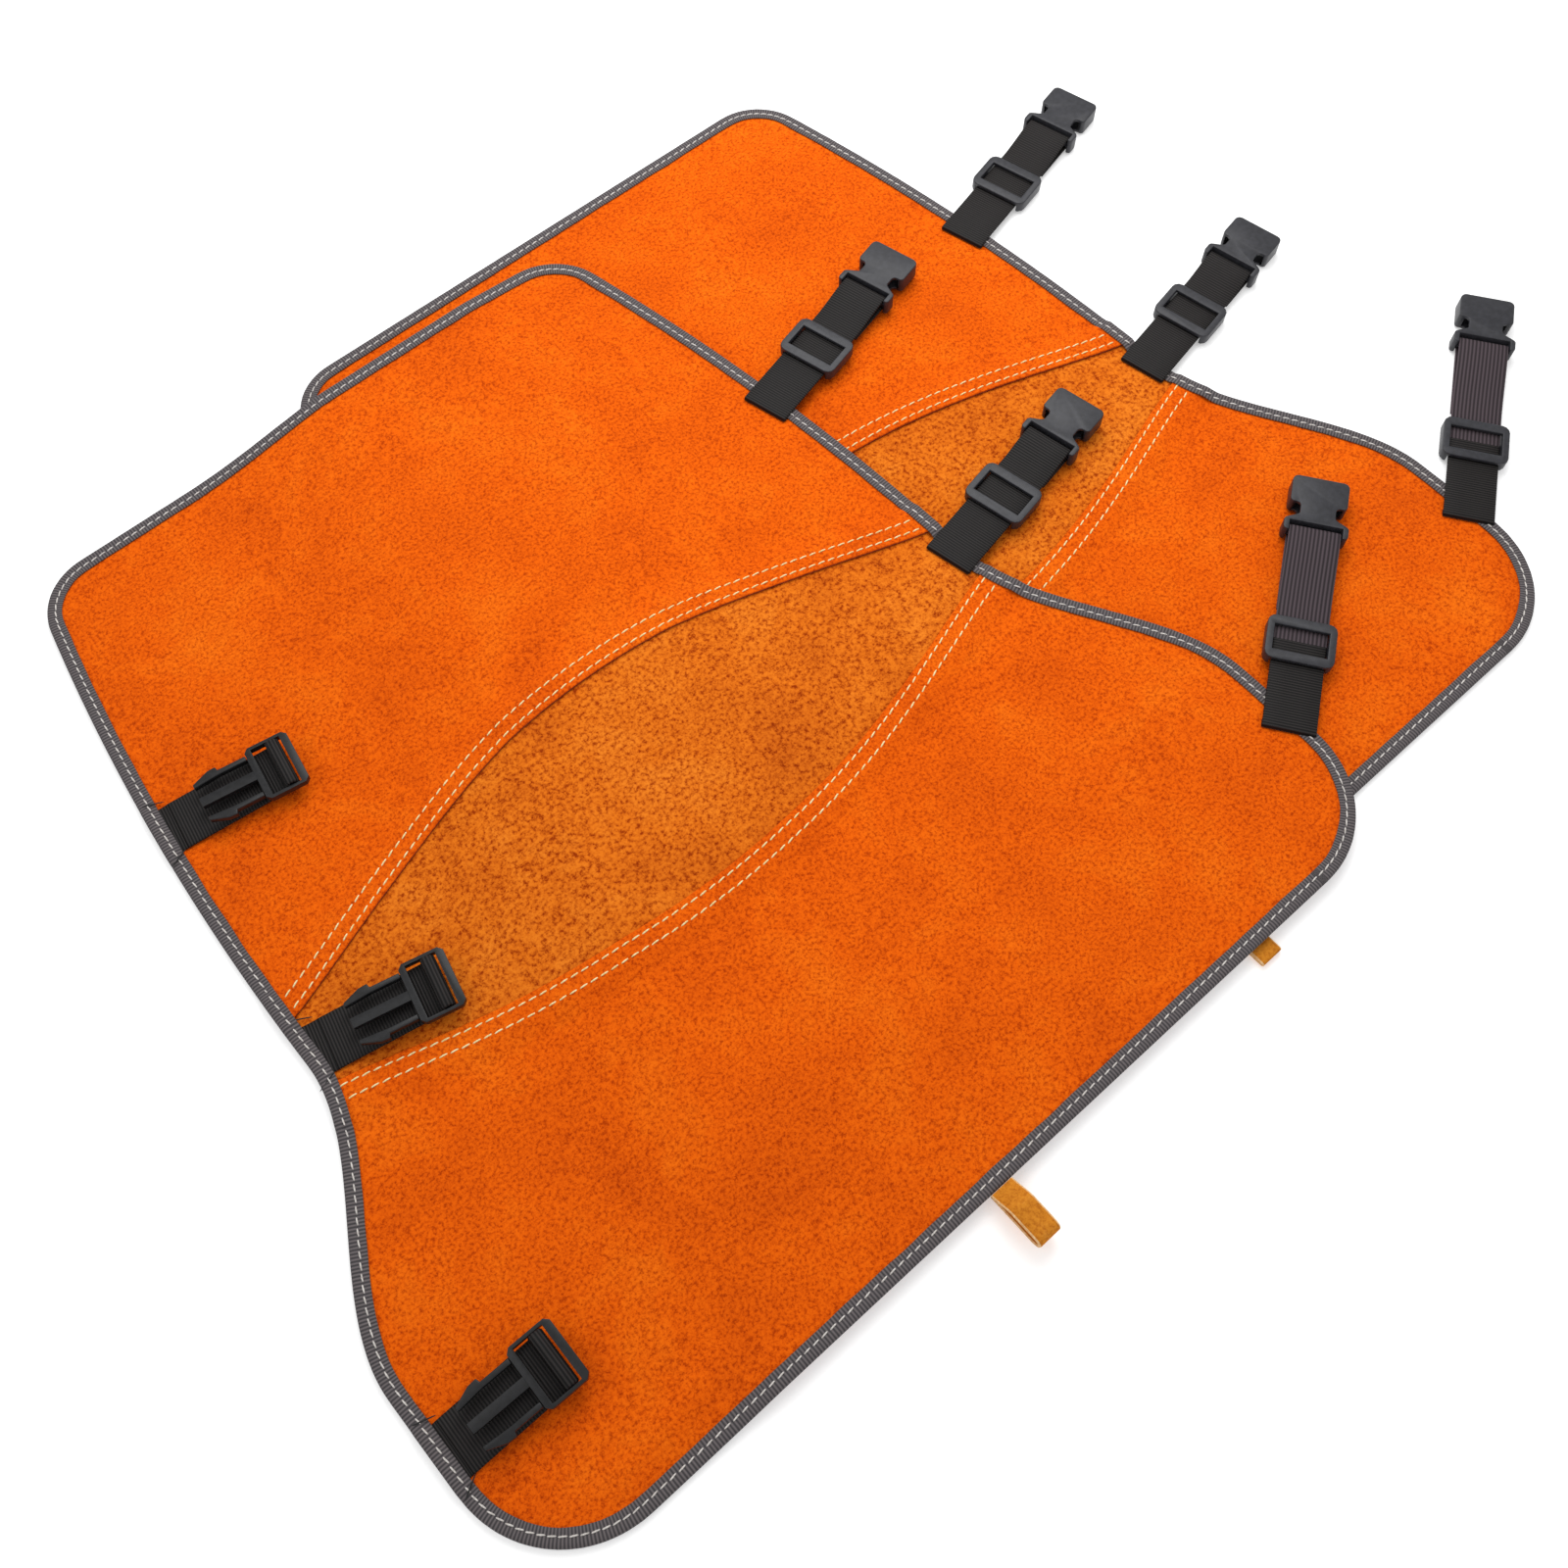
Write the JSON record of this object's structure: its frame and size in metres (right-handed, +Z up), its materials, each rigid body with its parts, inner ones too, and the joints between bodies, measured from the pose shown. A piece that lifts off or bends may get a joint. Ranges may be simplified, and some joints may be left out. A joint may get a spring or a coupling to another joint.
{
  "type": "welding leg guard pair",
  "caption": "Pair of split-leather welding leg guards with bound edges, webbing straps, slide adjusters and side-release buckles, one laid over the other.",
  "frame": {"origin": "on the table under the middle of the laid-out pair's bounding box", "axes": "+X across the leg towards the long straps, +Y along the leg towards the shin end, +Z up from the table"},
  "size_m": [0.7556, 0.5576, 0.0142],
  "materials": {
    "suede_orange": "suede split cowhide, orange, napped",
    "suede_brown": "suede split cowhide, brown, napped",
    "loop_leather": "tan leather strip with a pale cut edge",
    "binding_tape": "woven grey tape folded over the edge",
    "webbing_black": "ribbed woven webbing, black",
    "webbing_plum": "ribbed woven webbing, dark plum grey",
    "acetal_charcoal": "moulded acetal, satin charcoal",
    "acetal_black": "moulded acetal, satin black"
  },
  "bodies": {
    "under_guard": {"under_shin_panel": "suede_orange", "under_knee_panel": "suede_brown", "under_thigh_panel": "suede_orange", "under_edge_binding": "binding_tape", "under_belt_loop": "loop_leather", "under_shin_tab": "webbing_black", "under_shin_plug": "acetal_black", "under_shin_left_latch": "acetal_black", "under_shin_right_latch": "acetal_black", "under_knee_tab": "webbing_black", "under_knee_plug": "acetal_black", "under_knee_left_latch": "acetal_black", "under_knee_right_latch": "acetal_black", "under_thigh_tab": "webbing_black", "under_thigh_plug": "acetal_black", "under_thigh_left_latch": "acetal_black", "under_thigh_right_latch": "acetal_black"},
    "top_guard": {"top_shin_panel": "suede_orange", "top_knee_panel": "suede_brown", "top_thigh_panel": "suede_orange", "top_edge_binding": "binding_tape", "top_belt_loop": "loop_leather"},
    "under_shin_strap": {"under_shin_strap": "webbing_black"},
    "under_shin_adjuster": {"under_shin_adjuster": "acetal_charcoal"},
    "under_shin_socket": {"under_shin_socket": "acetal_charcoal"},
    "under_knee_strap": {"under_knee_strap": "webbing_black"},
    "under_knee_adjuster": {"under_knee_adjuster": "acetal_charcoal"},
    "under_knee_socket": {"under_knee_socket": "acetal_charcoal"},
    "under_thigh_strap": {"under_thigh_strap": "webbing_plum"},
    "under_thigh_adjuster": {"under_thigh_adjuster": "acetal_charcoal"},
    "under_thigh_socket": {"under_thigh_socket": "acetal_charcoal"},
    "top_shin_strap": {"top_shin_strap": "webbing_black"},
    "top_shin_adjuster": {"top_shin_adjuster": "acetal_charcoal"},
    "top_shin_socket": {"top_shin_socket": "acetal_charcoal"},
    "top_shin_tab": {"top_shin_tab": "webbing_black"},
    "top_shin_plug": {"top_shin_plug": "acetal_black"},
    "top_shin_left_latch": {"top_shin_left_latch": "acetal_black"},
    "top_shin_right_latch": {"top_shin_right_latch": "acetal_black"},
    "top_knee_strap": {"top_knee_strap": "webbing_black"},
    "top_knee_adjuster": {"top_knee_adjuster": "acetal_charcoal"},
    "top_knee_socket": {"top_knee_socket": "acetal_charcoal"},
    "top_knee_tab": {"top_knee_tab": "webbing_black"},
    "top_knee_plug": {"top_knee_plug": "acetal_black"},
    "top_knee_left_latch": {"top_knee_left_latch": "acetal_black"},
    "top_knee_right_latch": {"top_knee_right_latch": "acetal_black"},
    "top_thigh_strap": {"top_thigh_strap": "webbing_plum"},
    "top_thigh_adjuster": {"top_thigh_adjuster": "acetal_charcoal"},
    "top_thigh_socket": {"top_thigh_socket": "acetal_charcoal"},
    "top_thigh_tab": {"top_thigh_tab": "webbing_black"},
    "top_thigh_plug": {"top_thigh_plug": "acetal_black"},
    "top_thigh_left_latch": {"top_thigh_left_latch": "acetal_black"},
    "top_thigh_right_latch": {"top_thigh_right_latch": "acetal_black"}
  },
  "joints": [
    {"name": "top_guard_lift", "type": "slide", "parent": "under_guard", "child": "top_guard", "axis": [0, 0, 1], "range_m": [0, 0.25]},
    {"name": "under_shin_strap_swing", "type": "hinge", "parent": "under_guard", "child": "under_shin_strap", "pos_m": [0.19641, 0.12492, 0.0043], "axis": [0.2419, -0.9703, 0], "range_deg": [0, 120]},
    {"name": "under_shin_adjuster_slide", "type": "slide", "parent": "under_shin_strap", "child": "under_shin_adjuster", "axis": [0.9703, 0.2419, 0], "range_m": [-0.006, 0.004]},
    {"name": "under_shin_socket_pivot", "type": "hinge", "parent": "under_shin_strap", "child": "under_shin_socket", "pos_m": [0.2847, 0.14694, 0.005], "axis": [0.2419, -0.9703, 0], "range_deg": [0, 60]},
    {"name": "under_knee_strap_swing", "type": "hinge", "parent": "under_guard", "child": "under_knee_strap", "pos_m": [0.20344, -0.00146, 0.0043], "axis": [0.1908, -0.9816, 0], "range_deg": [0, 120]},
    {"name": "under_knee_adjuster_slide", "type": "slide", "parent": "under_knee_strap", "child": "under_knee_adjuster", "axis": [0.9816, 0.1908, 0], "range_m": [-0.006, 0.004]},
    {"name": "under_knee_socket_pivot", "type": "hinge", "parent": "under_knee_strap", "child": "under_knee_socket", "pos_m": [0.28786, 0.01494, 0.005], "axis": [0.1908, -0.9816, 0], "range_deg": [0, 60]},
    {"name": "under_thigh_strap_swing", "type": "hinge", "parent": "under_guard", "child": "under_thigh_strap", "pos_m": [0.2564, -0.17106, 0.0043], "axis": [0.5736, -0.8192, 0], "range_deg": [0, 120]},
    {"name": "under_thigh_adjuster_slide", "type": "slide", "parent": "under_thigh_strap", "child": "under_thigh_adjuster", "axis": [0.8192, 0.5736, 0], "range_m": [-0.006, 0.004]},
    {"name": "under_thigh_socket_pivot", "type": "hinge", "parent": "under_thigh_strap", "child": "under_thigh_socket", "pos_m": [0.34569, -0.10854, 0.005], "axis": [0.5736, -0.8192, 0], "range_deg": [0, 60]},
    {"name": "top_shin_strap_swing", "type": "hinge", "parent": "top_guard", "child": "top_shin_strap", "pos_m": [0.03841, 0.10492, 0.0089], "axis": [0.2419, -0.9703, 0], "range_deg": [0, 120]},
    {"name": "top_shin_adjuster_slide", "type": "slide", "parent": "top_shin_strap", "child": "top_shin_adjuster", "axis": [0.9703, 0.2419, 0], "range_m": [-0.006, 0.004]},
    {"name": "top_shin_socket_pivot", "type": "hinge", "parent": "top_shin_strap", "child": "top_shin_socket", "pos_m": [0.1267, 0.12694, 0.0096], "axis": [0.2419, -0.9703, 0], "range_deg": [0, 60]},
    {"name": "top_shin_tab_swing", "type": "hinge", "parent": "top_guard", "child": "top_shin_tab", "pos_m": [-0.3082, 0.10582, 0.0034], "axis": [-0.1736, -0.9848, 0], "range_deg": [0, 150]},
    {"name": "top_shin_plug_flip", "type": "hinge", "parent": "top_shin_tab", "child": "top_shin_plug", "pos_m": [-0.25656, 0.09671, 0.01083], "axis": [0.1736, 0.9848, 0], "range_deg": [0, 105]},
    {"name": "top_shin_left_squeeze", "type": "hinge", "parent": "top_shin_plug", "child": "top_shin_left_latch", "pos_m": [-0.27163, 0.08901, 0.01083], "axis": [0, 0, -1], "range_deg": [0, 8], "stiffness_Nm_per_rad": 0.02},
    {"name": "top_shin_right_squeeze", "type": "hinge", "parent": "top_shin_plug", "child": "top_shin_right_latch", "pos_m": [-0.26809, 0.1091, 0.01083], "axis": [0, 0, 1], "range_deg": [0, 8], "stiffness_Nm_per_rad": 0.02},
    {"name": "top_knee_strap_swing", "type": "hinge", "parent": "top_guard", "child": "top_knee_strap", "pos_m": [0.04544, -0.02147, 0.0089], "axis": [0.1908, -0.9816, 0], "range_deg": [0, 120]},
    {"name": "top_knee_adjuster_slide", "type": "slide", "parent": "top_knee_strap", "child": "top_knee_adjuster", "axis": [0.9816, 0.1908, 0], "range_m": [-0.006, 0.004]},
    {"name": "top_knee_socket_pivot", "type": "hinge", "parent": "top_knee_strap", "child": "top_knee_socket", "pos_m": [0.12986, -0.00505, 0.0096], "axis": [0.1908, -0.9816, 0], "range_deg": [0, 60]},
    {"name": "top_knee_tab_swing", "type": "hinge", "parent": "top_guard", "child": "top_knee_tab", "pos_m": [-0.31486, -0.02192, 0.0034], "axis": [-0.225, -0.9744, 0], "range_deg": [0, 150]},
    {"name": "top_knee_plug_flip", "type": "hinge", "parent": "top_knee_tab", "child": "top_knee_plug", "pos_m": [-0.26489, -0.03346, 0.01083], "axis": [0.225, 0.9744, 0], "range_deg": [0, 105]},
    {"name": "top_knee_left_squeeze", "type": "hinge", "parent": "top_knee_plug", "child": "top_knee_left_latch", "pos_m": [-0.28034, -0.04036, 0.01083], "axis": [0, 0, -1], "range_deg": [0, 8], "stiffness_Nm_per_rad": 0.02},
    {"name": "top_knee_right_squeeze", "type": "hinge", "parent": "top_knee_plug", "child": "top_knee_right_latch", "pos_m": [-0.27575, -0.02048, 0.01083], "axis": [0, 0, 1], "range_deg": [0, 8], "stiffness_Nm_per_rad": 0.02},
    {"name": "top_thigh_strap_swing", "type": "hinge", "parent": "top_guard", "child": "top_thigh_strap", "pos_m": [0.0984, -0.19106, 0.0089], "axis": [0.5736, -0.8192, 0], "range_deg": [0, 120]},
    {"name": "top_thigh_adjuster_slide", "type": "slide", "parent": "top_thigh_strap", "child": "top_thigh_adjuster", "axis": [0.8192, 0.5736, 0], "range_m": [-0.006, 0.004]},
    {"name": "top_thigh_socket_pivot", "type": "hinge", "parent": "top_thigh_strap", "child": "top_thigh_socket", "pos_m": [0.18769, -0.12854, 0.0096], "axis": [0.5736, -0.8192, 0], "range_deg": [0, 60]},
    {"name": "top_thigh_tab_swing", "type": "hinge", "parent": "top_guard", "child": "top_thigh_tab", "pos_m": [-0.36816, -0.18434, 0.0034], "axis": [-0.0175, -0.9998, 0], "range_deg": [0, 150]},
    {"name": "top_thigh_plug_flip", "type": "hinge", "parent": "top_thigh_tab", "child": "top_thigh_plug", "pos_m": [-0.32078, -0.18517, 0.01083], "axis": [0.0175, 0.9998, 0], "range_deg": [0, 105]},
    {"name": "top_thigh_left_squeeze", "type": "hinge", "parent": "top_thigh_plug", "child": "top_thigh_left_latch", "pos_m": [-0.33446, -0.19513, 0.01083], "axis": [0, 0, -1], "range_deg": [0, 8], "stiffness_Nm_per_rad": 0.02},
    {"name": "top_thigh_right_squeeze", "type": "hinge", "parent": "top_thigh_plug", "child": "top_thigh_right_latch", "pos_m": [-0.3341, -0.17474, 0.01083], "axis": [0, 0, 1], "range_deg": [0, 8], "stiffness_Nm_per_rad": 0.02}
  ],
  "couplings": [
    {"joint": "top_shin_right_squeeze", "follows": "top_shin_left_squeeze", "ratio": 1},
    {"joint": "top_knee_right_squeeze", "follows": "top_knee_left_squeeze", "ratio": 1},
    {"joint": "top_thigh_right_squeeze", "follows": "top_thigh_left_squeeze", "ratio": 1}
  ]
}
